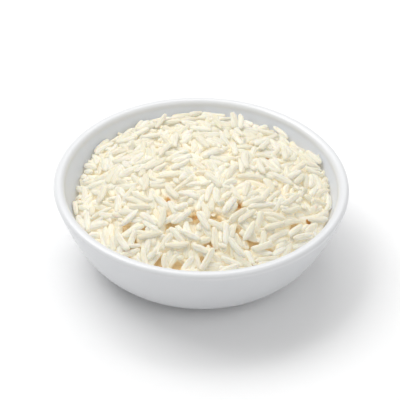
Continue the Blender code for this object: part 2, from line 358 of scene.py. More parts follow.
def turned_mesh(name, section, steps):
    """Revolve a section whose ends lie on the axis: x = r cos a, y = r sin a, z = z."""
    angle = 2 * math.pi * np.arange(steps) / steps
    x = np.outer(section[1:-1, 0], np.cos(angle))
    y = np.outer(section[1:-1, 0], np.sin(angle))
    z = np.repeat(section[1:-1, 1:], steps, axis=1)
    return ringed_mesh(name, (0.0, 0.0, section[0, 1]), np.stack([x, y, z], 2), (0.0, 0.0, section[-1, 1]))


def point_numbers(mesh, name, values):
    """Store one number, or one vector, for each vertex."""
    kind, key = ("FLOAT", "value") if values.ndim == 1 else ("FLOAT_VECTOR", "vector")
    made = mesh.attributes.new(name, kind, "POINT")
    made.data.foreach_set(key, values.astype(np.float32).ravel())


def add_piece(name, mesh, finish):
    """Link a mesh as a piece of the one body, with its finish."""
    piece = bpy.data.objects.new(name, mesh)
    mesh.materials.append(finish.material)
    bpy.context.scene.collection.objects.link(piece)
    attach(piece, "root")
    return piece


# %% [markdown]
# ## White glaze
#
# A plain white glaze is never one flat white. It is a glass layer a few tenths of a
# millimetre thick that pools and thins, so its gloss wanders a little, and its surface has
# the faint dimpling called orange peel. The bare ring under the foot, wiped clean so that
# the bowl does not stick to the kiln shelf, shows rough biscuit.
#
# The lip is painted a little whiter than the side below it: painted light, where the top
# catches the lamps. The inside is painted a little bluer and lighter, a painted correction for
# the warm light the rice throws on it, so that the two together look neutral.

# %% Mix the glaze
GLAZE_WHITE = (0.712, 0.722, 0.738, 1.0)
GLAZE_POOLED = (0.698, 0.710, 0.728, 1.0)
# Painted light: the lip's whiter colour, and the inside's bluer, lighter colour below.
GLAZE_LIP_PAINTED_LIGHT = (0.775, 0.783, 0.795, 1.0)
GLAZE_INSIDE_PAINTED_LIGHT = (0.745, 0.780, 0.860, 1.0)
INSIDE_FROM = 0.0005
INSIDE_TO = 0.0035
LIP_LIGHT_FADES_AT = 0.0030
LIP_LIGHT_FULL_AT = 0.0010
BARE_BELOW = 0.00035
BISCUIT = (0.66, 0.60, 0.52, 1.0)
CLOUD_SCALE = 45.0
CLOUD_DETAIL = 3.0
POOLED_FROM = 0.35
POOLED_TO = 0.7
GLAZE_ROUGHNESS = 0.26
CLOUD_ROUGHER = 0.14
BARE_ROUGHER = 0.4
PEEL_SCALE = 420.0
PEEL_DEPTH = 0.00004
PEEL_STRENGTH = 0.35


def glaze_finish():
    """The attribute "inside" says how far below the lip a point of the inside lies, in metres."""
    glaze = Finish("white glaze", GLAZE_ROUGHNESS, Coat_Weight=0.25, Coat_Roughness=0.12, IOR=1.5)
    place = glaze.place()
    cloud = glaze.noise(place, CLOUD_SCALE, CLOUD_DETAIL)
    height = glaze.node("SeparateXYZ", None, {0: place}, out="Z")
    bare = height < BARE_BELOW
    colour = glaze.blend(glaze.range(cloud, POOLED_FROM, POOLED_TO), GLAZE_WHITE, GLAZE_POOLED)
    inside = glaze.range(glaze.attribute("inside"), INSIDE_FROM, INSIDE_TO)
    # Painted light: the top few millimetres are mixed whiter, and the inside bluer and lighter.
    lip = glaze.range(height, BOWL_HEIGHT - LIP_LIGHT_FADES_AT, BOWL_HEIGHT - LIP_LIGHT_FULL_AT)
    colour = glaze.blend(inside, glaze.blend(lip, colour, GLAZE_LIP_PAINTED_LIGHT), GLAZE_INSIDE_PAINTED_LIGHT)
    glaze.paint("Base Color", glaze.blend(bare, colour, BISCUIT))
    glaze.paint("Roughness", cloud * CLOUD_ROUGHER + GLAZE_ROUGHNESS + bare * BARE_ROUGHER)
    glaze.bump(glaze.noise(place, PEEL_SCALE), PEEL_DEPTH, PEEL_STRENGTH)
    return glaze


bowl_mesh = turned_mesh("bowl_glazed", profile, TURN_STEPS)
past_lip = np.arange(len(profile)) > np.argmax(profile[:, 1])
below_lip = np.where(past_lip, BOWL_HEIGHT - profile[:, 1], 0.0)
inside = np.concatenate([below_lip[:1], np.repeat(below_lip[1:-1], TURN_STEPS), below_lip[-1:]])
point_numbers(bowl_mesh, "inside", inside)
bowl = add_piece("bowl_glazed", bowl_mesh, glaze_finish())
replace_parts(bowl, "bowl")
print("bowl: %d faces" % len(bowl.data.polygons))

# %% [markdown]
# ## The shape of the heap
#
# Rice heaped with a spoon makes a low dome that is never level. This one leans: it is
# highest towards the back, and the left edge has slipped down inside the wall. The height
# of its top is one function of x and y: a tilted plane, plus a shallow dome, minus a dip.

# %% The heap's top
EDGE_RADIUS = 0.0535
EDGE_BELOW_LIP = 0.0068
DOME_RISE = 0.0141
LEAN_RIGHT = 0.0004
LEAN_BACK = 0.0012
DIP_DEPTH = 0.0040
DIP_AT_X = -0.0540
DIP_SPREAD_X = 0.0085
DIP_SPREAD_Y = 0.0190
CLEARANCE = 0.0003
NEARBY = 0.00001


def heap_height(x, y):
    """Tilted plane + dome falling with the square of the radius - a bell-shaped dip."""
    level = BOWL_HEIGHT - EDGE_BELOW_LIP + (LEAN_RIGHT * x + LEAN_BACK * y) / EDGE_RADIUS
    dome = DOME_RISE * (1.0 - (x * x + y * y) / EDGE_RADIUS**2)
    dip = DIP_DEPTH * np.exp(-((x - DIP_AT_X) / DIP_SPREAD_X) ** 2 / 2 - (y / DIP_SPREAD_Y) ** 2 / 2)
    return level + dome - dip


def heap_normal(x, y):
    """Unit vectors square to the top, from its height a hundredth of a millimetre away."""
    across = (heap_height(x + NEARBY, y) - heap_height(x - NEARBY, y)) / (2 * NEARBY)
    along = (heap_height(x, y + NEARBY) - heap_height(x, y - NEARBY)) / (2 * NEARBY)
    normal = np.stack([-across, -along, np.ones_like(across)], 1)
    return normal / np.linalg.norm(normal, axis=1)[:, None]


print("top of the heap %.1f mm above the lip" % (1000 * (heap_height(0.0, 0.0) - BOWL_HEIGHT)))

# %% [markdown]
# ## Strewing the grains
#
# A heap of grains could be scattered on the surface, but scattered grains cut through each
# other and it shows at once. Real grains lie on one another. So each grain is treated as a
# rod with round ends, strewn at random through the top layer, and then the rods push each
# other apart until they fit. This is position-based dynamics, the method behind much game
# cloth: no forces, only small corrections of position, repeated.

# %% Strew the rods
SEED = 7
GRAIN_COUNT = 1650
GRAIN_LENGTH = 0.0098
GRAIN_LENGTH_SPREAD = 0.0011
GRAIN_SHORTEST = 0.0064
GRAIN_LONGEST = 0.0118
GRAIN_RADIUS = 0.00120
LAYER_DEPTH = 0.0078
FLAT_SHARE = 0.7
WALL_POWER = 6
GRAIN_LIFT = 0.0009


def scatter_grains(random):
    """Grains at random through the top layer: nearly along the heap, and along the wall near it."""
    length = random.normal(GRAIN_LENGTH, GRAIN_LENGTH_SPREAD, GRAIN_COUNT)
    half = np.clip(length, GRAIN_SHORTEST, GRAIN_LONGEST) / 2 - GRAIN_RADIUS
    radius = EDGE_RADIUS * np.sqrt(random.random(GRAIN_COUNT))
    angle = 2 * math.pi * random.random(GRAIN_COUNT)
    x, y = radius * np.cos(angle), radius * np.sin(angle)
    middle = np.stack([x, y, heap_height(x, y) - LAYER_DEPTH * random.random(GRAIN_COUNT)], 1)
    along = random.standard_normal((GRAIN_COUNT, 3))
    normal = heap_normal(x, y)
    along -= FLAT_SHARE * normal * (along * normal).sum(1)[:, None]
    outward = np.stack([np.cos(angle), np.sin(angle), np.zeros(GRAIN_COUNT)], 1)
    near_wall = (radius / EDGE_RADIUS) ** WALL_POWER
    along -= outward * (near_wall * (along * outward).sum(1))[:, None]
    along /= np.linalg.norm(along, axis=1)[:, None]
    lift = GRAIN_LIFT * random.standard_normal(GRAIN_COUNT)
    return middle, along, half, lift


# %% [markdown]
# ## Where two rods touch
#
# Two rods touch where their centre lines come closest. For two segments that is a small
# closed formula: solve two linear equations for how far along each line the closest points
# lie, then hold both shares between 0 and 1. It works on whole arrays of pairs at once.

# %% Closest points and pushes
LOOK_BEYOND = 0.0015
PUSH_SHARE = 0.3
NEARLY_PARALLEL = 1e-6
NEVER_ZERO = 1e-9


def nearest_shares(a0, a1, b0, b1):
    """How far along each of two segments their closest points lie, from 0 to 1."""
    u, v, w = a1 - a0, b1 - b0, a0 - b0
    uu, uv, vv = (u * u).sum(1), (u * v).sum(1), (v * v).sum(1)
    uw, vw = (u * w).sum(1), (v * w).sum(1)
    spread = uu * vv - uv * uv
    skew = spread > NEARLY_PARALLEL * uu * vv
    s = np.where(skew, (uv * vw - vv * uw) / np.where(skew, spread, 1.0), 0.5)
    s = np.clip(s, 0.0, 1.0)
    t = np.clip((uv * s + vw) / vv, 0.0, 1.0)
    s = np.clip((uv * t - uw) / uu, 0.0, 1.0)
    return s, t


def rod_gaps(a0, a1, b0, b1):
    """The shortest vectors from rods b to rods a, and the shares at which they end."""
    s, t = nearest_shares(a0, a1, b0, b1)
    gap = a0 + s[:, None] * (a1 - a0)
    gap -= b0 + t[:, None] * (b1 - b0)
    return gap, s, t


def neighbours(middle, half):
    """Pairs of grains near enough to touch in the next few steps."""
    apart = ((middle[:, None] - middle[None]) ** 2).sum(2)
    reach = half[:, None] + half[None] + 2 * GRAIN_RADIUS + LOOK_BEYOND
    return np.nonzero(np.triu(apart < reach * reach, 1))


def push_apart(p, q, first, second):
    """Moves for both ends of every grain: along the gap, in proportion to the overlap.

    A push near one end moves mostly that end, so rods also turn as they part.
    """
    gap, s, t = rod_gaps(p[first], q[first], p[second], q[second])
    distance = np.sqrt((gap * gap).sum(1)) + NEVER_ZERO
    overlap = np.maximum(2 * GRAIN_RADIUS - distance, 0.0)
    push = gap * (PUSH_SHARE * overlap / distance)[:, None]
    moves = np.zeros((2, len(p), 3))
    for grain, share, sign in ((first, s, 1.0), (second, t, -1.0)):
        lever = sign / ((1 - share) ** 2 + share**2)
        for k in range(3):
            moves[0, :, k] += np.bincount(grain, push[:, k] * (1 - share) * lever, len(p))
            moves[1, :, k] += np.bincount(grain, push[:, k] * share * lever, len(p))
    return moves


# %% [markdown]
# ## Letting them settle
#
# Each step pushes overlapping rods apart, presses every rod down square to the heap, holds
# its ends between the wall, the bottom of the layer and the heap's top, and then puts it
# back to its own length. The pressing fades out, so that the last steps only part rods.

# %% Settle the heap
SETTLE_STEPS = 160
SETTLE_PULL = 0.00006
PULL_UNTIL = 0.8
LOOK_EVERY = 8


def keep_off_wall(points, distance):
    """Points nearer to the bowl's outside than the distance move straight in until they are not."""
    radius = np.hypot(points[..., 0], points[..., 1])
    limit = wall_radius(points[..., 2], distance)
    points[..., :2] *= np.minimum(1.0, limit / np.maximum(radius, NEVER_ZERO))[..., None]


def keep_in_layer(end, lift):
    """Hold one end of every grain inside the wall, above the core and below the heap's top."""
    keep_off_wall(end, WALL + CLEARANCE + GRAIN_RADIUS)
    top = heap_height(end[:, 0], end[:, 1]) - GRAIN_RADIUS
    end[:, 2] = np.clip(end[:, 2], top - LAYER_DEPTH, top + lift)


def settle_grains(random):
    """The grains' middles, directions and half lengths once they lie packed."""
    middle, along, half, lift = scatter_grains(random)
    p, q = middle - along * half[:, None], middle + along * half[:, None]
    for step in range(SETTLE_STEPS):
        if step % LOOK_EVERY == 0:
            first, second = neighbours((p + q) / 2, half)
        moves = push_apart(p, q, first, second)
        middle = (p + q) / 2
        fade = max(0.0, 1.0 - step / (PULL_UNTIL * SETTLE_STEPS))
        down = heap_normal(middle[:, 0], middle[:, 1]) * SETTLE_PULL * fade
        p += moves[0] - down
        q += moves[1] - down
        keep_in_layer(p, lift)
        keep_in_layer(q, lift)
        middle = (p + q) / 2
        along = (q - p) / np.linalg.norm(q - p, axis=1)[:, None]
        p, q = middle - along * half[:, None], middle + along * half[:, None]
    return middle.round(6), along.round(4), half + GRAIN_RADIUS


random = np.random.default_rng(SEED)
middle, along, half = settle_grains(random)
print("settled %d grains, %.1f mm long on average" % (len(half), 2000 * half.mean()))

# %% [markdown]
# ## The last grains, laid one by one
#
# Chance fills a heap well, but the eye knows a heap by its few odd grains: the ones that
# stand up at the back edge, the ones that lie on top in front, and the hollows, whose depths
# are painted a warm brown as painted shade. Those are listed in whole millimetres from
# the bowl's middle. A row of `LAID` is a grain: x, y, its heading in degrees, and how many
# millimetres its far end stands up. A hollow is only an x and a y, and a fleck is a small
# orange-brown spot a little below the top.

# %% Place the odd grains, the hollows and the flecks
LAID = (
    (-20, -35, 5, 0), (-4, -36, -30, 0), (1, -30, -60, 0), (19, -33, 65, 1), (10, -35, 90, 0),
    (18, -26, 45, 0), (3, -46, 60, 1), (1, -42, -20, 0), (-9, -40, 0, 0), (29, -28, 30, 0),
    (-28, -26, 40, 0), (-30, -36, -60, 0), (24, -38, 30, 0), (11, -22, 60, 0), (-21, -44, -75, 0),
    (-15, -28, 80, 0), (36, -18, 35, 0), (-40, -9, 75, 0), (14, -40, -50, 0), (-6, 37, -30, 0),
    (-32, 27, 0, 0), (-6, 41, 0, 1), (-14, 39, -10, 1), (28, 35, -10, 0), (-24, 36, 10, 1),
    (-18, 38, 60, 4), (13, 37, 95, 5), (16, 37, 90, 5), (6, 35, 115, 4),
)
HOLLOWS = (
    (1, -45), (14, -32), (20, -36), (-8, -47), (-15, -45), (-12, -26), (-11, -31), (6, -27), (-30, -28),
    (-22, -31), (4, -38), (15, -20), (-25, -36), (-29, -39), (26, -38), (38, -24), (-13, -18), (-2, -26),
)
FLECKS = (
    (-13, -18), (-2, -26), (15, -19), (27, 12), (43, -20), (-50, -4), (-14, -47), (21, -45), (5, -40),
)
LAID_LENGTH = 0.0094
LAID_LIFT = 0.0003
LAID_ROOM = 0.0013
HOLLOW_RADIUS = 0.0012
HOLLOW_DOWN = 0.0026
FLECK_RADIUS = 0.0009


def laid_grains():
    """Middles, directions and half lengths of the grains in LAID; both ends follow the heap's top."""
    x, y, heading, rise = np.array(LAID, float).T
    heading, rise = np.radians(heading), rise / 1000
    reach = np.sqrt(LAID_LENGTH**2 - rise**2) / 2
    across = np.stack([np.cos(heading), np.sin(heading)], 1) * reach[:, None]
    centre = np.stack([x, y], 1) / 1000
    p, q = np.zeros((2, len(LAID), 3))
    p[:, :2], q[:, :2] = centre - across, centre + across
    p[:, 2] = heap_height(p[:, 0], p[:, 1]) + LAID_LIFT
    q[:, 2] = heap_height(q[:, 0], q[:, 1]) + LAID_LIFT + rise
    length = np.linalg.norm(q - p, axis=1)
    return (p + q) / 2, (q - p) / length[:, None], length / 2


def grain_rods(middle, along, half):
    """The two ends of each grain's middle line, one radius in from its tips."""
    core = along * (half - GRAIN_RADIUS)[:, None]
    return middle - core, middle + core


def hollow_rods():
    """Each hollow as an upright rod, from the heap's top down."""
    top = np.zeros((len(HOLLOWS), 3))
    top[:, :2] = np.array(HOLLOWS) / 1000
    top[:, 2] = heap_height(top[:, 0], top[:, 1])
    return top, top - np.array([0.0, 0.0, HOLLOW_DOWN])


def clear_of(rods, others, room):
    """True for each rod that keeps its distance from all the others."""
    first, second = np.divmod(np.arange(len(rods[0]) * len(others[0])), len(others[0]))
    gap = rod_gaps(rods[0][first], rods[1][first], others[0][second], others[1][second])[0]
    return (np.linalg.norm(gap, axis=1) > room).reshape(len(rods[0]), -1).all(axis=1)


laid = laid_grains()
rods = grain_rods(middle, along, half)
kept = clear_of(rods, grain_rods(*laid), LAID_ROOM) & clear_of(rods, hollow_rods(), HOLLOW_RADIUS)
middle, along, half = [np.concatenate([old[kept], new]) for old, new in zip((middle, along, half), laid)]
print("laid %d grains, took out %d" % (len(LAID), np.count_nonzero(~kept)))

# %% [markdown]
# Where one was taken out, or where chance left a bare place, smaller grains go in. They are
# tried one after the other at random places just under the top. Each one stays only if it
# is clear of the hollows, and of the middle line of every grain that is there already.

# %% Fill the bare places
TRIES = 12000
FILL_ROOM = 0.0011
FILL_SHALLOW = 0.0009
FILL_DEEP = 0.0026
FILL_FLAT_SHARE = 0.85
FILL_HALF_SHORT = 0.0034
FILL_HALF_LONG = 0.0048
FILL_EDGE = 0.0020


def candidates(random):
    """Middles, directions and half lengths of grains to try, lying nearly along the heap."""
    radius = (EDGE_RADIUS - FILL_EDGE) * np.sqrt(random.random(TRIES))
    angle = 2 * math.pi * random.random(TRIES)
    x, y = radius * np.cos(angle), radius * np.sin(angle)
    middle = np.stack([x, y, heap_height(x, y) - random.uniform(FILL_SHALLOW, FILL_DEEP, TRIES)], 1)
    normal = heap_normal(x, y)
    along = random.standard_normal((TRIES, 3))
    along -= FILL_FLAT_SHARE * normal * (along * normal).sum(1)[:, None]
    along /= np.linalg.norm(along, axis=1)[:, None]
    half = random.uniform(FILL_HALF_SHORT, FILL_HALF_LONG, TRIES)
    free = clear_of(grain_rods(middle, along, half), hollow_rods(), HOLLOW_RADIUS)
    return middle[free], along[free], half[free]


def fill_in(middle, along, half, random):
    """The same three arrays, with the candidates that found room added at the end."""
    tried = candidates(random)
    starts, ends = grain_rods(*tried)
    p, q = grain_rods(middle, along, half)
    added = []
    for k in range(len(starts)):
        near = np.abs((p + q) / 2 - tried[0][k]).max(axis=1) < GRAIN_LONGEST
        rod = [np.broadcast_to(end, (np.count_nonzero(near), 3)) for end in (starts[k], ends[k])]
        gap = rod_gaps(p[near], q[near], *rod)[0]
        if (gap * gap).sum(1).min(initial=1.0) > FILL_ROOM**2:
            p, q = np.vstack([p, starts[k]]), np.vstack([q, ends[k]])
            added.append(k)
    return [np.concatenate([old, new[added]]) for old, new in zip((middle, along, half), tried)]


before = len(half)
middle, along, half = fill_in(middle, along, half, random)
print("found room for %d more" % (len(half) - before))

# %% [markdown]
# ## The form of one grain
#
# A cooked long grain is a slightly bent, flattened spindle with blunt ends. It is a grid of
# two parameters: s from -1 to 1 along the grain and an angle a round it. Its radius along
# the grain is (1 - |s|^p)^(1/p): p = 2 would be a pointed-looking ellipse, and a larger p
# fills out the ends. Its section is not round but a little boxed, with low ridges where the
# husk had its ribs: 1 / (|cos a|^q + |sin a|^q)^(1/q), which is a circle for q = 2. Its ends
# are cut aslant, so each ring near an end is slid along the grain on one side of it.
#
# Every grain gets its own width, flatness, bend, taper, slant, p and q, and three slow waves
# over its skin, so that no two are alike. A row of `WAVES` is a wave's height as a share of
# the radius, how many times it goes round, and how fast it runs along. All grains are made
# in one array.

# %% Work out every grain's skin
SIDES = 8
RINGS = 7
ROLLED = 0.35
WIDTH_SHARE = 1.14
WIDTH_SPREAD = 0.08
NARROWEST = 0.98
WIDEST = 1.38
FLATNESS = (0.66, 0.86)
BOXINESS = (2.3, 3.4)
BEND = (0.0, 0.085)
TAPER = (-0.16, 0.16)
BLUNTNESS = (2.1, 3.6)
SLANT = (-0.9, 0.9)
WAVES = ((0.05, 2, 2.0), (0.04, 3, -3.0), (0.03, 0, 4.5))


def grain_skins(middle, along, half, random):
    """Array (grain, ring, side, 3) of points, and (grain, 2, 3) for the two tips.

    Point = middle + along * (s * half + slant * |s|^3 * radius * cos a)
            + side * bend * (1 - 2 s^2)
            + radius * (cos a * side + flatness * sin a * third),
    where radius = width * lengthwise curve * boxed section * taper * waves.
    The side is level with the heap, give or take a roll, so most grains lie on their flat.
    """
    count = len(middle)
    up = heap_normal(middle[:, 0], middle[:, 1]) + ROLLED * random.standard_normal((count, 3))
    side = np.cross(along, up)
    side /= np.linalg.norm(side, axis=1)[:, None]
    third = np.cross(along, side)
    width = GRAIN_RADIUS * np.clip(random.normal(WIDTH_SHARE, WIDTH_SPREAD, count), NARROWEST, WIDEST)
    flatness = random.uniform(*FLATNESS, count)
    square = random.uniform(*BOXINESS, count)
    bend = half * random.uniform(*BEND, count)
    taper = random.uniform(*TAPER, count)
    power = random.uniform(*BLUNTNESS, count)
    slant = random.uniform(*SLANT, (count, 2))
    phase = random.uniform(0.0, 2 * math.pi, (count, len(WAVES)))

    def column(values):
        return values[:, None, None]

    s = -np.cos(math.pi * np.arange(1, RINGS + 1) / (RINGS + 1))[None, :, None]
    a = (2 * math.pi * np.arange(SIDES) / SIDES)[None, None, :]
    radius = column(width) * (1 - np.abs(s) ** column(power)) ** (1 / column(power))
    radius = radius * (1 + column(taper) * s)
    corner = np.abs(np.cos(a)) ** column(square) + np.abs(np.sin(a)) ** column(square)
    radius = radius * corner ** (-1 / column(square))
    waves = [high * np.sin(turns * a + run * s + column(start))
             for (high, turns, run), start in zip(WAVES, phase.T)]
    radius = radius * (1 + sum(waves))
    slide = np.where(s < 0, column(slant[:, 0]), column(slant[:, 1])) * np.abs(s) ** 3
    spine = middle[:, None] + along[:, None] * (half[:, None] * s[0, :, 0])[..., None]
    spine = spine + side[:, None] * (bend[:, None] * (1 - 2 * s[0, :, 0] ** 2))[..., None]
    round_side = (radius * np.cos(a))[..., None] * side[:, None, None]
    round_third = (radius * column(flatness) * np.sin(a))[..., None] * third[:, None, None]
    skins = spine[:, :, None] + round_side + round_third
    skins = skins + (slide * radius * np.cos(a))[..., None] * along[:, None, None]
    tips = np.stack([middle - along * half[:, None], middle + along * half[:, None]], 1)
    tips = tips - (side * bend[:, None])[:, None]
    return skins, tips


# %% [markdown]
# Where a skin would poke through the wall it is pressed back to a hair inside it, as soft
# rice is. Then the grid becomes faces. One grain's face list is worked out once, and the
# list for all grains is that one plus each grain's first vertex number.
#
# Light wanders through a cooked grain before it comes out, so a grain shows its own form
# less sharply than a pebble does. Turning the shading normals part of the way towards the
# heap's own normal does the same, and leaves the skins as they are.

# %% Close the grains and soften their shading
SOFTEN = 0.45


def grain_faces(count):
    """One grain's faces, again for each grain with its first vertex number added."""
    step = (RINGS * SIDES + 2) * np.arange(count)[:, None, None]
    quads, fans = ring_faces(RINGS, SIDES)
    return (quads + step).reshape(-1, 4).tolist() + (fans + step).reshape(-1, 3).tolist()


def soften_normals(mesh, points):
    """Shade with (1 - SOFTEN) * the skin's own normal + SOFTEN * the heap's, made one long again."""
    normal = np.empty(3 * len(points), np.float32)
    mesh.vertex_normals.foreach_get("vector", normal)
    normal = (1 - SOFTEN) * normal.reshape(-1, 3) + SOFTEN * heap_normal(points[:, 0], points[:, 1])
    normal /= np.linalg.norm(normal, axis=1)[:, None]
    mesh.normals_split_custom_set_from_vertices(normal.tolist())


# %% [markdown]
# The finish asks a few things of each vertex: how deep it lies below the heap's top, how
# near it is to a hollow or a fleck, how far along its grain it is, and how white that grain
# is. They are stored as numbers on the vertices. The streak numbers are the vertex's place
# on its own grain, squeezed lengthwise, so that a noise read there comes out as long ribs.

# %% Make a mesh of grains that the finish can read
SPOT_REACH = 3.2
STREAK_SQUEEZE = 0.16


def nearness(points, spots, radius):
    """1 at a spot, falling evenly to 0 at SPOT_REACH radii from it; the nearest spot counts."""
    spots = np.array(spots) / 1000
    away = np.hypot(points[:, :1] - spots[:, 0], points[:, 1:2] - spots[:, 1])
    return np.clip(1.0 - away / (SPOT_REACH * radius), 0.0, 1.0).max(axis=1)


def place_numbers(mesh, points):
    """What the finish asks about a place: how deep it lies, and how near to a hollow or a fleck."""
    point_numbers(mesh, "depth", heap_height(points[:, 0], points[:, 1]) - points[:, 2])
    point_numbers(mesh, "hollow", nearness(points, HOLLOWS, HOLLOW_RADIUS))
    point_numbers(mesh, "fleck", nearness(points, FLECKS, FLECK_RADIUS))


def grain_mesh(name, middle, along, half, random):
    """All the grains of one kind as one mesh, with what the finish needs on its vertices."""
    skins, tips = grain_skins(middle, along, half, random)
    count = len(middle)
    points = np.concatenate([tips[:, :1], skins.reshape(count, -1, 3), tips[:, 1:]], 1)
    keep_off_wall(points, WALL + CLEARANCE)
    flat = points.reshape(-1, 3)
    mesh = bpy.data.meshes.new(name)
    mesh.from_pydata(flat, [], grain_faces(count))
    mesh.shade_smooth()
    soften_normals(mesh, flat)
    local = points - middle[:, None]
    lengthwise = (local * along[:, None]).sum(2)
    across = local - along[:, None] * lengthwise[..., None]
    streak = across + along[:, None] * (STREAK_SQUEEZE * lengthwise)[..., None]
    streak = streak + random.uniform(0.0, 1.0, (count, 1, 3))
    point_numbers(mesh, "streak", streak.reshape(-1, 3))
    point_numbers(mesh, "tip", np.abs(lengthwise / half[:, None]).ravel())
    point_numbers(mesh, "whiteness", np.repeat(random.random(count), points.shape[1]))
    place_numbers(mesh, flat)
    return mesh


# %% [markdown]
# ## Cooked rice
#
# A cooked grain is swollen starch and water. Light goes in, scatters and comes out a
# millimetre away, so its shadows are soft and its edges glow: that is the subsurface part.
# Some grains are chalky and some are clearer. Along each runs the faint ribbing of the
# husk it grew in, as low ridges and as thin darker lines. Between the grains, light that
# has bounced through several of them comes out warmer and dimmer, so the colour is painted
# warmer and darker with depth below the heap's top: painted shade between the grains, and
# darker still in the hollows.
#
# A path tracer stops after a few bounces, and rice needs dozens. The light that is lost
# that way is given back as a faint glow, which grows a little between the grains.

# %% Mix the rice
GRAIN_CLEAR = (0.690, 0.657, 0.532, 1.0)
GRAIN_CHALK = (0.755, 0.740, 0.652, 1.0)
GRAIN_LINE = (0.590, 0.535, 0.400, 1.0)
GRAIN_TIP = (0.670, 0.620, 0.495, 1.0)
# Painted shade: the colour of the rice deeper down between the grains.
GRAIN_IN_PAINTED_SHADE = (0.630, 0.560, 0.420, 1.0)
# Painted shade: the brown of the hollows, and their weaker glow further down.
HOLLOW_SHADE = (0.670, 0.490, 0.250, 1.0)
FLECK = (0.600, 0.300, 0.075, 1.0)
GLOW = (0.120, 0.114, 0.092, 1.0)
GLOW_DEEP = (0.280, 0.250, 0.182, 1.0)
GLOW_IN_HOLLOW_SHADE = (0.105, 0.080, 0.040, 1.0)
SCATTER = {"Subsurface_Weight": 0.8, "Subsurface_Radius": (1.0, 0.80, 0.50), "Subsurface_Scale": 0.0012}
RIB_SCALE = 1900.0
CHALK_SCALE = 420.0
STAIN_SCALE = 500.0
STAIN_DETAIL = 1.0
STAIN_SPREAD = 0.5
WHITE_BY_GRAIN = 0.6
WHITE_BY_CHALK = 0.6
WHITE_BY_RIBS = 0.5
WHITE_LESS = 0.1
LINE_SHARE = 0.5
TIP_SHARE = 0.6
RICE_ROUGHNESS = 0.32
CHALK_ROUGHER = 0.3
BUMP_BY_CHALK = 0.5
BUMP_DEPTH = 0.0004
BUMP_STRENGTH = 0.6

# %% [markdown]
# Each mask below runs from 0 to 1 between two values: of the whiteness, of the noise that
# makes the ribs, of the share of the way from a grain's middle to its tip, of the nearness
# to a hollow or a fleck, or of the depth below the heap's top in metres.

# %% Put the masks together
CHALKY = (0.35, 1.05)
LINED = (0.48, 0.64)
AT_TIP = (0.72, 1.05)
DEEP = (0.0010, 0.0040)
GLOWING = (0.0003, 0.0024)
IN_HOLLOW = (0.0, 0.5)
BELOW_TOP = (0.0010, 0.0022)
IN_FLECK = (0.45, 0.75)
BELOW_SKIN = (0.0004, 0.0012)


def grain_colour(rice, ribs, chalk):
    """Clear or chalky by grain and by patch, with darker lines along it and warmer tips."""
    white = rice.attribute("whiteness") * WHITE_BY_GRAIN + chalk * WHITE_BY_CHALK + ribs * WHITE_BY_RIBS
    colour = rice.blend(rice.range(white - WHITE_LESS, *CHALKY), GRAIN_CLEAR, GRAIN_CHALK)
    colour = rice.blend(rice.range(ribs, *LINED) * LINE_SHARE, colour, GRAIN_LINE)
    return rice.blend(rice.range(rice.attribute("tip"), *AT_TIP) * TIP_SHARE, colour, GRAIN_TIP)


def rice_finish():
    """Painted shade: the grain's colour warms and darkens with depth, more in the hollows; flecks are
    orange-brown spots.
    """
    rice = Finish("cooked rice", RICE_ROUGHNESS, IOR=1.4, Emission_Strength=1.0, **SCATTER)
    streak = rice.attribute("streak", "Vector")
    ribs = rice.noise(streak, RIB_SCALE)
    chalk = rice.noise(streak, CHALK_SCALE)
    depth = rice.attribute("depth")
    # Painted shade: the colour turns warmer and darker with depth between the grains.
    colour = rice.blend(rice.range(depth, *DEEP), grain_colour(rice, ribs, chalk), GRAIN_IN_PAINTED_SHADE)
    glow = rice.blend(rice.range(depth, *GLOWING), GLOW, GLOW_DEEP)
    stain = rice.noise(rice.place(), STAIN_SCALE, STAIN_DETAIL) * STAIN_SPREAD - STAIN_SPREAD / 2
    # Painted shade: the hollows are painted brown below the top, and glow less.
    hollow_shade = rice.range(rice.attribute("hollow") + stain, *IN_HOLLOW) * rice.range(depth, *BELOW_TOP)
    # A fleck: a small orange-brown spot a little below the grains' tops.
    fleck = rice.range(rice.attribute("fleck") + stain, *IN_FLECK) * rice.range(depth, *BELOW_SKIN)
    rice.paint("Base Color", rice.blend(fleck, rice.blend(hollow_shade, colour, HOLLOW_SHADE), FLECK))
    rice.paint("Emission Color", rice.blend(fleck, rice.blend(hollow_shade, glow, GLOW_IN_HOLLOW_SHADE), grey(0.0)))
    rice.paint("Roughness", chalk * CHALK_ROUGHER + RICE_ROUGHNESS)
    rice.bump(ribs + chalk * BUMP_BY_CHALK, BUMP_DEPTH, BUMP_STRENGTH)
    return rice


rice_look = rice_finish()
print("cooked rice:", len(rice_look.tree.nodes), "shader nodes")

# %% [markdown]
# ## Grains on top and grains beneath
#
# The grains are parted into two pieces by how deep they lie, so that each stays a light
# mesh. Both kinds have the same form and finish.

# %% Add the grains
TOP_LAYER = 0.0032

depth = heap_height(middle[:, 0], middle[:, 1]) - middle[:, 2]
on_top = depth < TOP_LAYER
for name, chosen in (("rice_top", on_top), ("rice_under", ~on_top)):
    mesh = grain_mesh(name, middle[chosen], along[chosen], half[chosen], random)
    grains = add_piece(name, mesh, rice_look)
    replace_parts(grains, "rice")
    print(name, chosen.sum(), "grains,", len(mesh.polygons), "faces")

# %% [markdown]
# ## The rice that nobody sees
#
# Under the settled layer the bowl is simply full. A core closes the view between the deepest
# grains: its top follows the heap, some way down, and its sides follow the inside wall. It
# is one closed surface on a grid of rings and spokes, with fine lumps so that what shows of
# it in a gap looks like more rice and not like a floor.

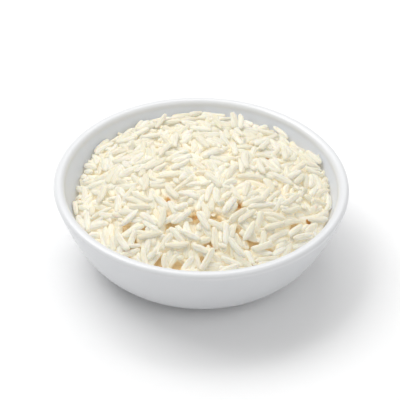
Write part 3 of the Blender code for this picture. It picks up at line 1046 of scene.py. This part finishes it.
# %% Fill the bowl below the grains
CORE_DOWN = 0.0030
CORE_SPOKES = 240
CORE_RINGS = 70
CORE_WALL_RINGS = 10
CORE_FLOOR_GAP = 0.0001
CORE_WHITENESS = 0.4
LUMP_HEIGHT = 0.0003
LUMPS_ACROSS = (2300, 1100)
LUMPS_ALONG = (2100, 900)
LUMP_SWERVE = 2
FADES_TO_EDGE = 8


def lumps(x, y):
    """LUMP_HEIGHT * sin(ax + w sin(by)) * sin(cy + w sin(dx)): rows of lumps that swerve."""
    across = np.sin(x * LUMPS_ACROSS[0] + LUMP_SWERVE * np.sin(y * LUMPS_ACROSS[1]))
    along = np.sin(y * LUMPS_ALONG[0] + LUMP_SWERVE * np.sin(x * LUMPS_ALONG[1]))
    return LUMP_HEIGHT * across * along


def core_rings():
    """Rings over the top at heap height - CORE_DOWN + lumps, then down the wall, and the floor's height."""
    angle = 2 * math.pi * np.arange(CORE_SPOKES) / CORE_SPOKES
    across, sideways = np.cos(angle), np.sin(angle)
    edge = heap_height(EDGE_RADIUS * across, EDGE_RADIUS * sideways) - CORE_DOWN
    edge_radius = wall_radius(edge, WALL + CLEARANCE)
    share = np.linspace(0.0, 1.0, CORE_RINGS + 1)[:, None]
    x, y = share * edge_radius * across, share * edge_radius * sideways
    z = heap_height(x, y) - CORE_DOWN + lumps(x, y) * (1 - share**FADES_TO_EDGE)
    bottom = inward(outer_side(LOOKUP_POINTS), WALL + CLEARANCE)[-1, 1] + CORE_FLOOR_GAP
    down = np.linspace(1.0, 0.0, CORE_WALL_RINGS + 1)[1:, None]
    wall_z = bottom + down * (z[-1] - bottom)
    wall_r = wall_radius(wall_z, WALL + CLEARANCE)
    top = np.stack([x, y, z], 2)
    wall = np.stack([wall_r * across, wall_r * sideways, wall_z], 2)
    return np.vstack([top, wall]), bottom


rings, bottom = core_rings()
core = ringed_mesh("rice_core", rings[0, 0], rings[1:], (0.0, 0.0, bottom), turned_over=True)
co = np.empty(3 * len(core.vertices), np.float32)
core.vertices.foreach_get("co", co)
co = co.reshape(-1, 3).astype(float)
point_numbers(core, "streak", co)
point_numbers(core, "tip", np.zeros(len(co)))
point_numbers(core, "whiteness", np.full(len(co), CORE_WHITENESS))
place_numbers(core, co)
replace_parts(add_piece("rice_core", core, rice_look), "rice")
print("core:", len(core.polygons), "faces")

# %% [markdown]
# ## Floor and light
#
# The bowl stands on white, in soft daylight from behind. Three large square lamps share the
# work: the key from the back left makes the shadow that runs to the right, the one straight
# behind makes the shadow that runs towards the camera, and a weak one from the front right
# opens up the side that the others leave dark. Their size makes every edge soft, and the
# white world round everything fills the rest. The glaze is darker than the floor by design:
# that is what keeps a white bowl readable on a white ground.

# %% Lay the floor
FLOOR_HALF = 3.0
PAPER_ROUGHNESS = 0.9
PAPER_DULL = 0.955
PAPER_BRIGHT = 0.97
FIBRE_SCALE = 300.0

corners = [(x * FLOOR_HALF, y * FLOOR_HALF, 0.0) for x, y in ((-1, -1), (1, -1), (1, 1), (-1, 1))]
floor_mesh = bpy.data.meshes.new("floor")
floor_mesh.from_pydata(corners, [], [(0, 1, 2, 3)])
paper = Finish("white paper", PAPER_ROUGHNESS, Specular_IOR_Level=0.0)
fibres = paper.noise(paper.place(), FIBRE_SCALE)
paper.paint("Base Color", paper.blend(fibres, grey(PAPER_DULL), grey(PAPER_BRIGHT)))
floor_mesh.materials.append(paper.material)
floor = bpy.data.objects.new("floor", floor_mesh)
bpy.context.scene.collection.objects.link(floor)
print("floor: %.0f m square" % (2 * FLOOR_HALF))

# %% [markdown]
# A row of `LAMPS` is a name, how many degrees the lamp is turned from straight behind to the
# right, how many degrees it is up, and its power in watts.

# %% Hang the lamps
LAMP_AWAY = 1.3
LAMP_SIZE = 0.8
LAMPS = (("key", -58, 58, 8.3), ("back", 0, 58, 4.5), ("fill", 135, 45, 2.4))
SKY = 0.46


def hang_lamp(name, turn, rise, power):
    """A square lamp on a sphere of radius LAMP_AWAY round the bowl's foot, facing the mouth."""
    turn, rise = math.radians(turn), math.radians(rise)
    level = math.cos(rise)
    place = LAMP_AWAY * Vector((math.sin(turn) * level, math.cos(turn) * level, math.sin(rise)))
    light = bpy.data.lights.new(name, "AREA")
    light.size = LAMP_SIZE
    light.energy = power
    lamp = bpy.data.objects.new(name, light)
    lamp.location = place
    lamp.rotation_euler = (mouth - place).to_track_quat("-Z", "Y").to_euler()
    bpy.context.scene.collection.objects.link(lamp)


for lamp in LAMPS:
    hang_lamp(*lamp)
print("lamps:", [lamp[0] for lamp in LAMPS])

world = bpy.data.worlds.new("daylight")
world.use_nodes = True
sky = world.node_tree.nodes["Background"]
sky.inputs["Color"].default_value = grey(1.0)
sky.inputs["Strength"].default_value = SKY
bpy.context.scene.world = world
bpy.context.scene.view_settings.view_transform = "Standard"
